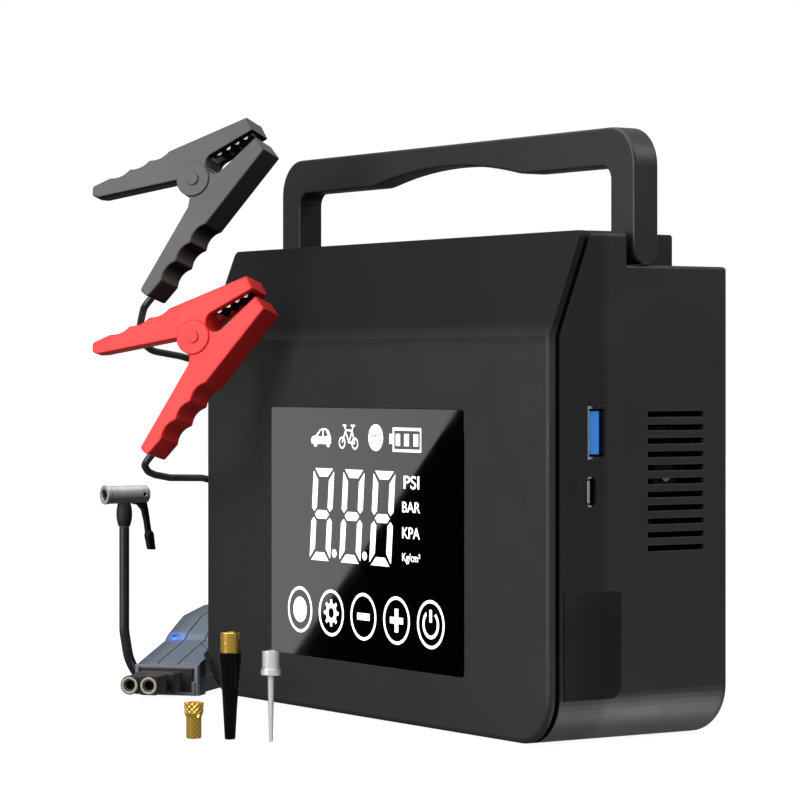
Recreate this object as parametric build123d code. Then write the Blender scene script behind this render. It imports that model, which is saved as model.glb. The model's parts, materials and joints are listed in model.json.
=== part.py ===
from build123d import *
import math
import os

os.makedirs("parts", exist_ok=True)

# Jump starter with built-in tyre inflator, its clamp lead, air hose and nozzles.
# Millimetres. X to the right, Y to the back, Z up; the floor is Z = 0.

# ---- main unit ----
WIDTH = 216.0
HALF = WIDTH / 2
FRONT_Y = -36.0
BACK_Y = 38.6
FOOT = 0.4            # height of the housing above the floor
PAD_T = 1.2           # rubber foot, partly sunk into the floor of the housing
PAD = (82.0, 24.0)
CREASE_Z = 130.7      # the front leans back above this height
TOP_Z = 164.4
SHELF_Z = 153.7
SLANT = 13.2          # how far the front leans back at the top
RIDGE_HALF = 94.5     # half length of the raised middle of the top
RIDGE_BACK = 24.0
NOTCH_Y = -5.3        # the end notches start here
CORNER_R = 16.5       # bottom corners seen from the front
BACK_R = 5.5
WALL = 2.6
COVER_T = 2.4
GROOVE = 1.8          # parting groove between cover and housing
GROOVE_DEPTH = 1.6
GAP = 0.1

# ---- display ----
LENS_HALF = 61.0
LENS_Z = (18.95, 106.9)
LENS_T = 1.2

# ---- handle ----
HANDLE_HALF = 108.6
LEG_IN = 95.8
HANDLE_TOP = 198.7
BAR_T = 12.6
LEG_Y = (-2.6, 7.3)
PIVOT = (2.35, 159.0)
PIN_R = 2.2
SCOOP_HALF = 46.0     # finger scoop under the bar
SCOOP_RISE = 4.9

# ---- side fittings ----
USB_A = (-17.3, 99.85, 6.8, 16.7)     # centre Y, centre Z, width, height
USB_C = (-19.55, 81.05, 3.9, 9.7)
VENT_Y = (3.4, 26.3)
VENT_TOP = 106.6
VENT_PITCH = 4.33
VENT_H = 1.9
VENT_COUNT = 11
FLAP_Y = (-30.2, -7.6)
FLAP_Z = (14.9, 49.1)
FLAP_R = 0.75         # half thickness of the port cover
FLAP_AXIS = (107.2, -29.4)
FLAP_GAP = 0.08
LIGHT = (2.0, 110.0, 12.0)            # centre Y, centre Z, radius
OUTLET = (16.0, 84.0)

# ---- screws ----
SCREWS = [(-99, 16), (99, 16), (0, 12), (-99, 141), (99, 141), (0, 147)]
BOSS_SPLIT = -12.0
HEAD_SEAT = -6.0

# ---- battery ----
CELL_X = (-90.0, -20.0)
CELL_YZ = [(-5.6, 20.4), (20.8, 20.4), (-5.6, 46.8), (20.8, 46.8)]
CELL_R = 13.0

# ---- pump ----
AXIS = (14.8, 85.0)
PUMP_X = 31.0
GEAR_DROP = 22.2
GEAR_R = 17.3
PINION_R = 4.7

# ---- clamps: measured along the jaws, across them, and through the thickness ----
CLAMP_T = 14.0
WEB_T = 7.6
BOSS_R = 6.2
BOSS_RISE = 0.5
RIVET_R = 2.3
HOLLOWS = 3           # finger hollows along each grip
TEETH = 4
TOOTH_PITCH = 3.7
JAW_DIR = (0.5876, 0.5523, 0.5914)
FACE_DIR = (0.5752, -0.7991, 0.1747)
BLACK_AT = (-61.7, -68.1, 187.7)
RED_AT = (-61.7, -68.1, 131.7)

# ---- smart box of the clamp lead ----
BOX_AT = (-114.6, -62.4, 0.3)
BOX_ACROSS = (0.76, 0.65, 0)
BOX_W = 24.5          # width at the mouth
BOX_WAIST = 21.7      # width from NECK back, clear of the unit's corner
BOX_NECK = (8.5, 14.2)
BOX_L = 92.0
BOX_SPLIT = 6.0
BOX_TOP = [(0, 11.4), (31, 17.9), (34, 20.0), (50, 25.6), (74, 28.0), (BOX_L, 27.2)]
BOX_LAMP = (4.3, 32.2)
PLUG_X = (3.7, 11.1)
PLUG_Z = 5.0
PLUG_R = 3.5
PLUG_Y = (-15.6, -6.3)
CABLE_R = 1.3

# ---- hose and chuck ----
HOSE_R = 1.9
HOSE_XY = (-136.9, -54.9)
CHUCK_Z = 73.3
CHUCK_Y = (-63.4, -45.2)
CHUCK_R = 3.4

# ---- loose nozzles: X, Y on the floor ----
PRESTA_AT = (19.8, -114.3)
CONE_AT = (28.7, -105.9)
NEEDLE_AT = (42.7, -98.9)
STAND = 0.3           # loose parts stand this far above Z = 0


def block(x0, x1, y0, y1, z0, z1):
    return Pos((x0 + x1) / 2, (y0 + y1) / 2, (z0 + z1) / 2) * Box(x1 - x0, y1 - y0, z1 - z0)


def rod_x(r, x0, x1, y, z):
    return Pos((x0 + x1) / 2, y, z) * Rot(0, 90, 0) * Cylinder(r, x1 - x0)


def rod_y(r, y0, y1, x, z):
    return Pos(x, (y0 + y1) / 2, z) * Rot(90, 0, 0) * Cylinder(r, y1 - y0)


def rod_z(r, z0, z1, x, y):
    return Pos(x, y, (z0 + z1) / 2) * Cylinder(r, z1 - z0)


def side_profile(points, x0, x1):
    """Solid from a closed outline in Y and Z, pulled along X."""
    face = make_face(Polyline(*[(x0, y, z) for y, z in points], close=True))
    return extrude(face, amount=x1 - x0, dir=(1, 0, 0))


def outline(inset):
    """The unit seen from the front, pulled along the whole depth."""
    low, high, half = FOOT + inset, TOP_Z - inset, HALF - inset
    body = block(-half, half, -60, 60, low, high)
    bottom = body.edges().filter_by(Axis.Y).group_by(Axis.Z)[0]
    body = fillet(bottom, max(CORNER_R - inset, 1))
    top = body.edges().filter_by(Axis.Y).group_by(Axis.Z)[-1]
    return fillet(top, max(2.0 - inset * 0.5, 0.4))


def slab(near, far):
    """Layer that follows the leaning front, between two depths behind it."""
    y0, y1 = FRONT_Y + near, FRONT_Y + far
    points = [(y0, 0), (y0, CREASE_Z), (y0 + SLANT, TOP_Z + 1), (y1 + SLANT, TOP_Z + 1),
              (y1, CREASE_Z), (y1, 0)]
    return side_profile(points, -120, 120)


def rounded_box(x0, x1, y0, y1, z0, z1, r, axis):
    body = block(x0, x1, y0, y1, z0, z1)
    return fillet(body.edges().filter_by(axis), r)


def front_cover():
    plate = slab(0, COVER_T) & outline(0)
    rim = plate.faces().sort_by(Axis.Y)[0].edges()
    plate = fillet(rim, 1.9)
    plate += (slab(COVER_T, COVER_T + GROOVE - GAP) & outline(GROOVE_DEPTH)) - outline(4.2)
    plate += (slab(COVER_T + GROOVE - GAP, 5.8) & outline(WALL + GAP)) - outline(4.2)
    z0, z1 = LENS_Z
    c = 0.05
    plate -= rounded_box(-LENS_HALF - c, LENS_HALF + c, FRONT_Y - 1, FRONT_Y + LENS_T + c,
                         z0 - c, z1 + c, 1.5, Axis.Y)
    plate -= block(-54, 54, FRONT_Y, FRONT_Y + 8, z0 + 6, z1 - 6)
    inside = slab(1.0, 30)
    for x, z in SCREWS:
        plate += rod_y(3.4, FRONT_Y, BOSS_SPLIT - GAP, x, z) & inside
    for x, z in SCREWS:
        plate -= rod_y(1.25, -23, BOSS_SPLIT, x, z)
    return plate


def cavity():
    back = BACK_Y - WALL
    room = slab(COVER_T + GROOVE - 1, 80) & outline(WALL) & block(-HALF, HALF, -40, back, 0, 200)
    room -= block(-HALF, HALF, RIDGE_BACK - WALL, 60, SHELF_Z - WALL, 200)
    for x0, x1 in ((-HALF, -RIDGE_HALF + WALL), (RIDGE_HALF - WALL, HALF)):
        room -= block(x0, x1, NOTCH_Y - WALL, 60, SHELF_Z - WALL, 200)
    return room


def rear_housing():
    body = slab(COVER_T + GROOVE, 80) & outline(0) & block(-HALF, HALF, -40, BACK_Y, 0, 200)
    body -= block(-HALF - 1, HALF + 1, RIDGE_BACK, 60, SHELF_Z, 200)
    for x0, x1 in ((-HALF - 1, -RIDGE_HALF), (RIDGE_HALF, HALF + 1)):
        body -= block(x0, x1, NOTCH_Y, 60, SHELF_Z, 200)
    back = body.faces().sort_by(Axis.Y)[-1]
    body = fillet(back.edges().filter_by(lambda e: e.center().Z < 150), BACK_R)
    for y, z in ((RIDGE_BACK, TOP_Z), (BACK_Y, SHELF_Z)):
        body = fillet(upper_edge(body, y, z), 1.1)
    body -= cavity()
    body -= pad_shape(GAP / 2)
    for x, z in SCREWS:
        body += rod_y(4.4, BOSS_SPLIT, BACK_Y - 2, x, z) & outline(1)
    for x, z in SCREWS:
        body -= rod_y(3.0, HEAD_SEAT, BACK_Y + 1, x, z)
        body -= rod_y(1.4, BOSS_SPLIT - 1, HEAD_SEAT + 1, x, z)
    for side in (-1, 1):
        x0, x1 = sorted((side * 84, side * (RIDGE_HALF - 1)))
        body += rod_x(5.0, x0, x1, PIVOT[0], PIVOT[1]) & block(-HALF, HALF, -30, 30, 0, TOP_Z - 1)
        x0, x1 = sorted((side * 85, side * (RIDGE_HALF + 1)))
        body -= rod_x(PIN_R + 0.02, x0, x1, *PIVOT)
    y, z, w, h = USB_A
    body -= block(HALF - 6, HALF + 1, y - w / 2 - GAP, y + w / 2 + GAP, z - h / 2 - GAP, z + h / 2 + GAP)
    y, z, w, h = USB_C
    body -= rounded_box(HALF - 6, HALF + 1, y - w / 2 - GAP, y + w / 2 + GAP,
                        z - h / 2 - GAP, z + h / 2 + GAP, w / 2, Axis.X)
    for i in range(VENT_COUNT):
        top = VENT_TOP - i * VENT_PITCH
        body -= block(HALF - 4, HALF + 1, VENT_Y[0], VENT_Y[1], top - VENT_H, top)
    body += flap_frame()
    body -= flap_room()
    y, z, r = LIGHT
    body -= rod_x(r + GAP / 2, -HALF - 1, -HALF + 1.5, y, z)
    body -= rod_x(r - 1.5, -HALF - 1, -HALF + 4, y, z)
    body -= rod_x(4.0 + 0.05, -HALF - 1, -HALF + 4, *OUTLET)
    return body


def upper_edge(body, y, z):
    """The long edge that runs across the back of the ridge or of the shelf."""
    at = Vector(0, y, z)
    return body.edges().filter_by(Axis.X).filter_by(lambda e: (e.center() - at).length < 0.1)


def flap_frame():
    """Thicker wall behind the port cover, holding the socket."""
    return block(HALF - 5.0, HALF - 1.0, FLAP_Y[0] + 0.5, FLAP_Y[1] + 2, FLAP_Z[0] + 3, FLAP_Z[1] + 2)


def rear_corners(body):
    """Rear corners of the port cover, lower one first."""
    return body.edges().filter_by(Axis.X).group_by(Axis.Y)[-1].sort_by(Axis.Z)


def flap_room():
    """Recess for the port cover and the opening for the socket."""
    c = FLAP_GAP
    floor = FLAP_AXIS[0] - FLAP_R - c
    room = block(floor, HALF + 2, FLAP_Y[0] - c, FLAP_Y[1] + c, FLAP_Z[0] - c, FLAP_Z[1] + c)
    room = fillet(rear_corners(room)[0:1], 4.0)
    room = fillet(rear_corners(room)[-1:], 1.5)
    return room + block(HALF - 6, HALF, -26.1, -11.9, 21.9, 42.1)


def pad_shape(clearance):
    x, y = PAD[0] + clearance, PAD[1] + clearance
    return rounded_box(-x, x, -y, y, 0, PAD_T + clearance, 8, Axis.Z)


def base_pad():
    return fillet(pad_shape(0).edges().group_by(Axis.Z)[0], 0.3)


def display_lens():
    return rounded_box(-LENS_HALF, LENS_HALF, FRONT_Y, FRONT_Y + LENS_T, *LENS_Z, 1.4, Axis.Y)


def display_module():
    z0, z1 = LENS_Z
    panel = block(-53, 53, FRONT_Y + LENS_T + 0.1, FRONT_Y + 5, z0 + 7, z1 - 7)
    return panel + block(-57, 57, FRONT_Y + 4.9, FRONT_Y + 6.5, z0 + 4, z1 - 4)


def main_board():
    board = block(20, 95.5, -23.6, -22, 56, 126)
    board += block(28, 44, -22, -17, 100, 118)
    board += block(52, 60, -22, -19, 70, 84)
    for x in (66, 74, 82):
        board += rod_y(3.0, -22, -11, x, 112)
    return board


def usb_a_shell():
    y, z, w, h = USB_A
    shell = block(HALF - 15, HALF - 0.1, y - w / 2, y + w / 2, z - h / 2, z + h / 2)
    shell -= block(HALF - 14.4, HALF + 1, y - w / 2 + 0.6, y + w / 2 - 0.6, z - h / 2 + 0.6, z + h / 2 - 0.6)
    return shell


def usb_a_tongue():
    y, z, w, h = USB_A
    tongue = block(HALF - 14.4, HALF - 1.2, y - 2.2, y + 1.9, z - 6.9, z + 6.9)
    y0, y1 = y - w / 2 + 0.6, y + w / 2 - 0.6
    return tongue + block(HALF - 14.4, HALF - 11, y0, y1, z - h / 2 + 0.6, z + h / 2 - 0.6)


def usb_c_socket():
    y, z, w, h = USB_C
    shell = rounded_box(HALF - 9, HALF - 0.1, y - w / 2, y + w / 2, z - h / 2, z + h / 2, w / 2 - 0.1, Axis.X)
    room = rounded_box(HALF - 8.6, HALF + 1, y - w / 2 + 0.5, y + w / 2 - 0.5,
                       z - h / 2 + 0.5, z + h / 2 - 0.5, w / 2 - 0.6, Axis.X)
    tongue = block(HALF - 8.7, HALF - 0.8, y - 1.1, y + 0.2, z - 3.6, z + 3.6)
    return shell - room + tongue


def port_flap():
    """Dark cover of the jumper port, hinged along its front edge."""
    x = FLAP_AXIS[0]
    flap = block(x - FLAP_R, x + FLAP_R, FLAP_AXIS[1], FLAP_Y[1], *FLAP_Z)
    flap = fillet(rear_corners(flap)[0:1], 4.0)
    flap = fillet(rear_corners(flap)[-1:], 1.5)
    return flap + rod_z(FLAP_R, *FLAP_Z, *FLAP_AXIS)


def ec5_socket():
    body = block(HALF - 16, HALF - 2.2, -26, -12, 22, 42)
    for z in (27, 37):
        body -= rod_x(3.4, HALF - 12, HALF, -19, z)
        body -= rod_x(1.6, HALF - 18, HALF - 10, -19, z)
    return body


def ec5_socket_pins():
    pins = rod_x(2.7, HALF - 12, HALF - 4, -19, 27) + rod_x(1.5, HALF - 18, HALF - 11.9, -19, 27)
    return pins + Pos(0, 0, 10) * pins


def led_lens():
    y, z, r = LIGHT
    lens = rod_x(r, -HALF, -HALF + 1.45, y, z)
    return fillet(lens.edges().sort_by(Axis.X)[0:1], 0.6)


def led_board():
    y, z, r = LIGHT
    board = rod_x(r + 3, -HALF + 4.0, -HALF + 5.6, y, z) & block(-110, -95, -20, 30, 99, 121)
    for dz in (-4, 4):
        board += block(-HALF + 2.9, -HALF + 4.1, y - 1.7, y + 1.7, z + dz - 1.7, z + dz + 1.7)
    return board


def air_outlet():
    body = rod_x(4.0, -HALF - 4, -HALF + 4.5, *OUTLET) + rod_x(6.2, -HALF + WALL + 0.1, -HALF + 4.6, *OUTLET)
    body += rod_x(2.2, -HALF + 4.5, -HALF + 12, *OUTLET)
    return body - rod_x(1.2, -HALF - 5, -HALF + 13, *OUTLET)


def handle_outline(half, low, high, r):
    body = block(-half, half, LEG_Y[0], LEG_Y[1], low, high)
    return fillet(body.edges().filter_by(Axis.Y).group_by(Axis.Z)[-1], r)


def carry_handle():
    """U-shaped handle with a finger scoop under the bar and round feet."""
    bar_low = HANDLE_TOP - BAR_T
    foot_r = (LEG_Y[1] - LEG_Y[0]) / 2
    body = handle_outline(HANDLE_HALF, PIVOT[1], HANDLE_TOP, 13)
    body -= handle_outline(LEG_IN, PIVOT[1] - 20, bar_low, 4.5)
    left, right = (-SCOOP_HALF, 0, bar_low), (SCOOP_HALF, 0, bar_low)
    curve = ThreePointArc(left, (0, 0, bar_low + SCOOP_RISE), right)
    scoop = make_face([curve.edge(), Line(right, left).edge()])
    body -= extrude(scoop, amount=30, dir=(0, 1, 0), both=True)
    ends = body.edges().filter_by(Axis.Y).filter_by(lambda e: abs(abs(e.center().X) - SCOOP_HALF) < 1)
    body = fillet(ends, 25)
    body = fillet(body.edges().filter_by(lambda e: e.center().Z > PIVOT[1] + 1), 0.9)
    for side in (-1, 1):
        x0, x1 = sorted((side * LEG_IN, side * HANDLE_HALF))
        body += rod_x(foot_r, x0, x1, *PIVOT)
        x0, x1 = sorted((side * (LEG_IN - 1), side * (HALF - 1.6)))
        body -= rod_x(PIN_R + 0.06, x0, x1, *PIVOT)
    return body


def handle_pins():
    pin = rod_x(PIN_R, 85.5, HALF - 1.8, *PIVOT)
    return pin + mirror(pin, Plane.YZ)


def housing_screws():
    parts = []
    for x, z in SCREWS:
        screw = rod_y(1.2, -22, HEAD_SEAT + 0.1, x, z) + rod_y(2.7, HEAD_SEAT + 0.05, HEAD_SEAT + 2.2, x, z)
        parts.append(screw - rod_y(1.0, HEAD_SEAT + 1.0, HEAD_SEAT + 3, x, z))
    return Compound(children=parts)


def battery_cells():
    return Compound(children=[rod_x(CELL_R, *CELL_X, y, z) for y, z in CELL_YZ])


def battery_bracket():
    tray = block(CELL_X[0] - 3, CELL_X[1] + 3, -19, 33, FOOT + WALL + GAP, 7.2)
    for x0 in (CELL_X[0] - 3, CELL_X[1] + 0.2):
        tray += block(x0, x0 + 2.8, -19, 33, 3.9, 62)
    for x0 in (-82.0, -32.0):
        tray += block(x0, x0 + 4, 7.0, 8.2, 7.2, 62)
    for y, z in CELL_YZ:
        tray -= rod_x(CELL_R + 0.1, CELL_X[0] - 0.1, CELL_X[1] + 0.1, y, z)
    return tray


def bms_board():
    board = block(-88, -22, -16, 30, 62.1, 63.7)
    for x in (-80, -66, -52):
        board += block(x, x + 8, -8, -2, 63.6, 65.4)
    board += block(-40, -30, 4, 24, 63.6, 70)
    return board


def motor_can():
    can = rod_x(14.5, 52, 92, *AXIS) - rod_x(13.4, 53, 91, *AXIS) - rod_x(1.6, 50, 94, *AXIS)
    for angle in range(0, 360, 90):
        y = AXIS[0] + 8 * math.cos(math.radians(angle))
        z = AXIS[1] + 8 * math.sin(math.radians(angle))
        can -= rod_x(1.8, 90, 93, y, z)
    return can


def toothed(r, teeth, tooth, x0, x1, y, z):
    """Plain spur gear: a disc with straight teeth of the given height."""
    gear = rod_x(r - tooth, x0, x1, y, z)
    width = math.pi * r / teeth * 0.9
    for i in range(teeth):
        bar = Pos((x0 + x1) / 2, 0, r - tooth / 2 - 0.25) * Box(x1 - x0, width, tooth + 0.5)
        gear += Pos(0, y, z) * Rot(360 * i / teeth, 0, 0) * bar
    return gear


def motor_rotor():
    """Motor shaft with its winding core and the pinion cut on its end."""
    shaft = rod_x(1.5, 40.8, 103, *AXIS) + rod_x(9.5, 58, 86, *AXIS)
    return shaft + toothed(PINION_R, 9, 1.4, 41.5, 47, *AXIS)


def crank_gear():
    y, z = AXIS[0], AXIS[1] - GEAR_DROP
    gear = toothed(GEAR_R, 34, 1.4, 42, 46.5, y, z)
    for i in range(5):
        gear -= Pos(0, y, z) * Rot(72 * i, 0, 0) * Pos(44, 0, 10) * Rot(0, 90, 0) * Cylinder(3.2, 8)
    return gear + rod_x(2.0, 36.5, 50, y, z)


def cooling_fan():
    fan = rod_x(5, 95, 102, *AXIS)
    blade = Rot(0, 0, 32) * Box(9, 1.0, 12)
    for i in range(7):
        fan += Pos(98.5, *AXIS) * Rot(360 * i / 7, 0, 0) * Pos(0, 0, 10) * blade
    ring = rod_x(16.6, 95.5, 101.5, *AXIS) - rod_x(15.4, 95, 102, *AXIS)
    return fan + ring - rod_x(1.52, 94, 104, *AXIS)


def pump_body():
    """Casting with crankcase, finned cylinder and the plate that carries the motor."""
    y, z = AXIS
    low = z - GEAR_DROP
    body = rounded_box(20, 40, y - 12, y + 12, low - 14, low + 24, 2, Axis.X)
    body += rod_z(9.5, low + 23, 124, PUMP_X, y)
    for i in range(6):
        body += rod_z(13.5, 92 + 5 * i, 94 + 5 * i, PUMP_X, y) & block(0, 40.4, -20, 40, 0, 200)
    body += block(48.6, 51.9, y - 16.5, y + 18, low - 20, z + 16.5)
    body += block(36, 51.9, y - 10, y + 10, z + 10, z + 16)
    body += block(36, 51.9, y - 10, y + 10, low - 24, low - 19)
    body += block(30, 39, y - 8, y + 8, low - 24, low - 13)
    body -= rod_x(2.06, 36, 53, y, low)
    body -= rod_x(2.2, 47, 53, y, z)
    return body - rod_z(1.5, 120, 126, PUMP_X, y)


def cylinder_head():
    y = AXIS[0]
    head = rounded_box(PUMP_X - 11, PUMP_X + 9, y - 11, y + 11, 124.1, 131, 2, Axis.Z)
    head += rod_z(2.2, 130.9, 134.5, PUMP_X, y)
    for dy in (-8, 8):
        for dx in (-8, 6):
            head += rod_z(1.8, 131, 132.6, PUMP_X + dx, y + dy)
    return head - rod_z(1.2, 124, 138, PUMP_X, y)


def bent_path(points, bend):
    """Straight runs between the points, joined by arcs of the given radius."""
    pts = [Vector(*p) for p in points]
    edges, last = [], pts[0]
    for before, corner, after in zip(pts, pts[1:], pts[2:]):
        back, on = (before - corner).normalized(), (after - corner).normalized()
        half = math.radians(back.get_angle(on)) / 2
        run = min(bend / math.tan(half), (before - corner).length * 0.49, (after - corner).length * 0.49)
        r = run * math.tan(half)
        middle = corner + (back + on).normalized() * (r / math.sin(half) - r)
        start, end = corner + back * run, corner + on * run
        edges += [Line(last, start), ThreePointArc(start, middle, end)]
        last = end
    edges.append(Line(last, pts[-1]))
    return Wire([e.edge() for e in edges])


def tube(points, r, bore=0.0, bend=12.0):
    """Round tube or cable along a bent path."""
    path = bent_path(points, bend)
    ring = Plane(origin=path @ 0, z_dir=path % 0)
    section = ring * (Circle(r) - Circle(bore) if bore else Circle(r))
    return sweep(section, path=path)


def air_line():
    """Inner air pipe from the pump head to the outlet on the left wall."""
    y, z = OUTLET
    points = [(PUMP_X, AXIS[0], 134.6), (PUMP_X, AXIS[0], 140), (8, 18, 140), (-78, 24, 136),
              (-84, 22, 92), (-84, y, z), (-HALF + 12.1, y, z)]
    return tube(points, 2.2, 1.2, bend=7)


def clamp_plane(at):
    return Plane(origin=at, x_dir=JAW_DIR, z_dir=FACE_DIR)


def flat_plate(points, z0, z1):
    face = make_face(Polyline(*points, close=True))
    return Pos(0, 0, z0) * extrude(face, amount=z1 - z0, dir=(0, 0, 1))


def disc(r, z0, z1):
    return Pos(0, 0, (z0 + z1) / 2) * Cylinder(r, z1 - z0)


def arm(points, first, last, dip):
    """Half of a clamp: straight runs through the points, and finger hollows from first to last."""
    start, end = Vector(*first), Vector(*last)
    step = (end - start) / HOLLOWS
    inward = Vector(-step.Y, step.X).normalized() * dip
    edges = list(Polyline(last, *points, first).edges())
    for i in range(HOLLOWS):
        a = start + step * i
        edges.append(ThreePointArc(a, a + step / 2 + inward, a + step).edge())
    body = extrude(make_face(edges), amount=-CLAMP_T, dir=(0, 0, 1))
    body = fillet(body.edges().filter_by(Axis.Z).filter_by(lambda e: e.center().X < -8), 1.2)
    return fillet(body.faces().sort_by(Axis.Z)[-1].edges(), 0.5)


def jaw_edge(x, upper):
    """Height of the jaw's inner edge above or below the middle line."""
    return 3.5 - 0.135 * (x - 10.2) if upper else -4.1 + 0.112 * (x - 10.2)


def jaw_strip(upper, x0, x1, low, high, z0, z1):
    """Plate that follows the inner edge of a jaw."""
    ends = [(x0, jaw_edge(x0, upper) + low), (x1, jaw_edge(x1, upper) + low),
            (x1, jaw_edge(x1, upper) + high), (x0, jaw_edge(x0, upper) + high)]
    return flat_plate(ends, z0, z1)


def jaw_opening():
    """Gap between the jaws: round next to the rivet, narrow at the tips."""
    points = [(10.2, jaw_edge(10.2, True)), (30, jaw_edge(30, True)), (30, jaw_edge(30, False)),
              (10.2, jaw_edge(10.2, False))]
    return flat_plate(points, -20, 5) + Pos(10.0, -0.3, 0) * disc(3.8, -20, 5)


def moving_half():
    """Upper half: its two round cheeks straddle the web of the lower half."""
    mid, web = -CLAMP_T / 2, WEB_T / 2
    body = arm([(-32.6, 22.2), (-34.6, 19.4), (-32.9, 17.4), (-5.0, 3.5), (0, -0.3), (27.6, -0.3), (28.3, 6.3)],
               (-2.0, 14.6), (-25.4, 20.5), 1.0)
    slope = Pos(-5.0, 3.5, 0) * Rot(0, 0, math.degrees(math.atan2(13.9, -27.9)))
    wedge = make_face(Polyline((0, 1, -2), (0, 1, -20), (0, -3.6, -20), (0, 0, -2), close=True))
    body -= slope * extrude(wedge, amount=40, dir=(1, 0, 0))
    body -= jaw_opening()
    low_side = flat_plate([(-9, -40), (45, -40), (45, -0.3), (6.5, -0.3), (-6.5, 4.0), (-9, 5.3)], -20, 5)
    body -= low_side & disc(BOSS_R + 0.4, -20, 5)
    body += fillet(disc(BOSS_R, -CLAMP_T, BOSS_RISE).edges().sort_by(Axis.Z)[-1:], 0.25)
    body -= disc(BOSS_R + 0.6, mid - web - GAP, mid + web + GAP)
    body -= disc(1.62, -20, 5)
    return body - jaw_strip(True, 8.6, 26.4, -3, 2.4, mid - 3.7, mid + 3.7)


def fixed_half():
    """Lower half: its narrow web sits between the cheeks of the upper half."""
    mid, web = -CLAMP_T / 2, WEB_T / 2
    body = arm([(27.4, -7.8), (27.1, -0.3), (0, -0.3), (-4.4, -4.4), (-7.0, -7.2), (-38.0, -21.4), (-36.9, -25.3)],
               (-29.2, -23.5), (-5.0, -16.8), 1.5)
    body -= jaw_opening()
    body -= disc(BOSS_R + 0.15, -20, 5)
    body += disc(BOSS_R + 0.2, mid - web, mid + web)
    body -= disc(4.4, mid - 2.2, mid + 2.2)
    body -= flat_plate([(0, -4.2), (0, 4.2), (-12, 4.2), (-12, -4.2)], mid - 2.2, mid + 2.2)
    body -= disc(1.52, -20, 5)
    return body - jaw_strip(False, 9.2, 25.9, -2.4, 3, mid - 3.7, mid + 3.7)


def jaw_teeth(upper):
    """Metal jaw strip with pointed teeth, facing the other jaw."""
    mid = -CLAMP_T / 2
    back, root, tip = (2.3, 0.8, -0.9) if upper else (-2.3, -0.4, 1.2)
    x_end = 10.6 + TEETH * TOOTH_PITCH
    points = []
    for i in range(TEETH):
        x = 10.6 + i * TOOTH_PITCH
        points += [(x, jaw_edge(x, upper) + root), (x + TOOTH_PITCH * 0.42, jaw_edge(x, upper) + tip),
                   (x + TOOTH_PITCH * 0.6, jaw_edge(x, upper) + tip)]
    points += [(x_end, jaw_edge(x_end, upper) + root), (x_end, jaw_edge(x_end, upper) + back),
               (10.6, jaw_edge(10.6, upper) + back)]
    return flat_plate(points, mid - 3.6, mid + 3.6)


def clamp_pin():
    """Rivet with a head on both cheeks."""
    low = -CLAMP_T
    pin = disc(1.5, low - 0.1, BOSS_RISE + 0.1) + disc(RIVET_R, low - 0.6, low - 0.05)
    head = disc(RIVET_R, BOSS_RISE + 0.05, BOSS_RISE + 0.6)
    return pin + fillet(head.edges().sort_by(Axis.Z)[-1:], 0.2)


def clamp_spring():
    """Torsion spring: a coil round the pin with two short legs."""
    mid = -CLAMP_T / 2
    coil = disc(3.6, mid - 1.9, mid + 1.9) - disc(2.2, mid - 3, mid + 3)
    for turn, level in ((150, 1.0), (210, -1.0)):
        coil += Rot(0, 0, turn) * Pos(4.2, 0, mid + level) * Box(2.4, 0.8, 0.8)
    return coil


def save_clamp(name, at, make):
    export(clamp_plane(at).location * make, name)


def box_plane():
    return Plane(origin=BOX_AT, x_dir=BOX_ACROSS, z_dir=(0, 0, 1))


def box_solid(low, high, inset):
    """Part of the hood-shaped box between two heights, in the box's own axes."""
    top = [(inset, l, h - inset) for l, h in BOX_TOP[1:-1]]
    points = [(inset, inset, low), (inset, inset, BOX_TOP[0][1] - inset)] + top
    points += [(inset, BOX_L - inset, BOX_TOP[-1][1] - inset), (inset, BOX_L - inset, low)]
    body = extrude(make_face(Polyline(*points, close=True)), amount=BOX_W - 2 * inset, dir=(1, 0, 0))
    neck0, neck1 = BOX_NECK
    plan = [(inset, 0), (BOX_W - inset, 0), (BOX_W - inset, neck0), (BOX_WAIST - inset, neck1),
            (BOX_WAIST - inset, BOX_L), (inset, BOX_L)]
    return body & flat_plate(plan, low, high)


def smart_box_base():
    body = box_solid(0, BOX_SPLIT, 0)
    body = fillet(body.edges().filter_by(Axis.Z).group_by(Axis.Y)[-1], 2.5)
    body -= block(1.6, BOX_WAIST - 1.6, 3, BOX_L - 3, 1.4, 20)
    return body - block(-1, BOX_W + 1, -1, 2.0, -1, 20)


def box_groove(a, b):
    """Thin line cut into the roof between two points of the plan."""
    run = Vector(b[0] - a[0], b[1] - a[1])
    angle = math.degrees(math.atan2(run.Y, run.X))
    line = Pos(a[0], a[1], 0) * Rot(0, 0, angle) * block(0, run.length, -0.2, 0.2, 0, 40)
    return (box_solid(0, 40, 0) - Pos(0, 0, -0.5) * box_solid(0, 40, 0)) & line


def smart_box_cover():
    body = box_solid(BOX_SPLIT + 0.1, 40, 0)
    body = fillet(body.edges().filter_by(Axis.Z).group_by(Axis.Y)[-1], 2.5)
    edge = body.edges().filter_by(lambda e: e.center().Z > 11.5 and e.center().X < 0.1)
    body = chamfer(edge.filter_by(lambda e: abs(e.tangent_at(0.5).Y) > 0.5), 0.9)
    body -= block(1.6, BOX_WAIST - 1.6, 3, BOX_L - 3, 0, 9.6)
    body -= box_solid(BOX_SPLIT, 40, 3) & block(0, BOX_WAIST - 2, 26, BOX_L, 0, 40)
    for x in (8.3, 16.3):
        body -= box_groove((x, 2), (x, 84))
    body -= box_groove((16.3, 27), (BOX_W + 1, 14))
    body -= rod_z(1.65, 5, 40, *BOX_LAMP)
    for x in (7.0, 15.5):
        body -= rod_y(CABLE_R + 0.05, BOX_L - 4, BOX_L + 1, x, 12.4)
    return body - block(-1, BOX_W + 1, -1, 2.0, -1, 40)


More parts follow.
